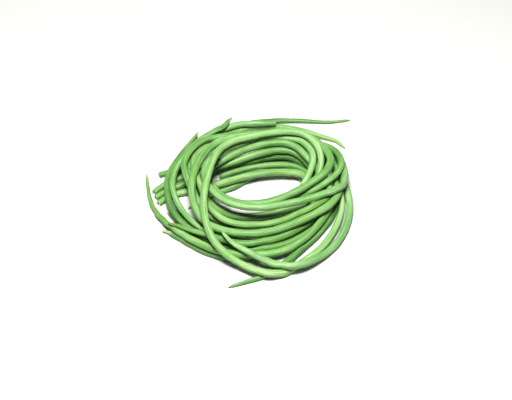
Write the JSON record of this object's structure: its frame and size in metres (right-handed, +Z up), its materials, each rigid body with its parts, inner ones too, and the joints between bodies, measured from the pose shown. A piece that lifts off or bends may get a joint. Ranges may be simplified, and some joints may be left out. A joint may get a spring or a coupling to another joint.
{
  "type": "yardlong bean bunch",
  "caption": "Loose flat coil of long thin fresh green bean pods, wound round and over each other, with free tips.",
  "frame": {"origin": "under the middle of the bunch's box, on the surface that it lies on", "axes": "+Y from the picture's viewer to the back, along the longest side of the box; +X to the viewer's right; +Z up"},
  "size_m": [0.2102, 0.2256, 0.0426],
  "materials": {
    "pod_skin_light": "fresh bean pod skin, satin, with fine lengthwise streaks; light green",
    "pod_skin_mid": "fresh bean pod skin, satin, with fine lengthwise streaks; mid green",
    "pod_skin_deep": "fresh bean pod skin, satin, with fine lengthwise streaks; deep green"
  },
  "bodies": {
    "root": {"pod_01": "pod_skin_light", "pod_02": "pod_skin_light", "pod_03": "pod_skin_light", "pod_04": "pod_skin_mid", "pod_05": "pod_skin_deep", "pod_06": "pod_skin_light", "pod_07": "pod_skin_mid", "pod_08": "pod_skin_mid", "pod_09": "pod_skin_mid", "pod_10": "pod_skin_deep", "pod_11": "pod_skin_deep", "pod_12": "pod_skin_mid", "pod_13": "pod_skin_deep", "pod_14": "pod_skin_mid", "pod_15": "pod_skin_light", "pod_16": "pod_skin_deep"}
  },
  "joints": []
}
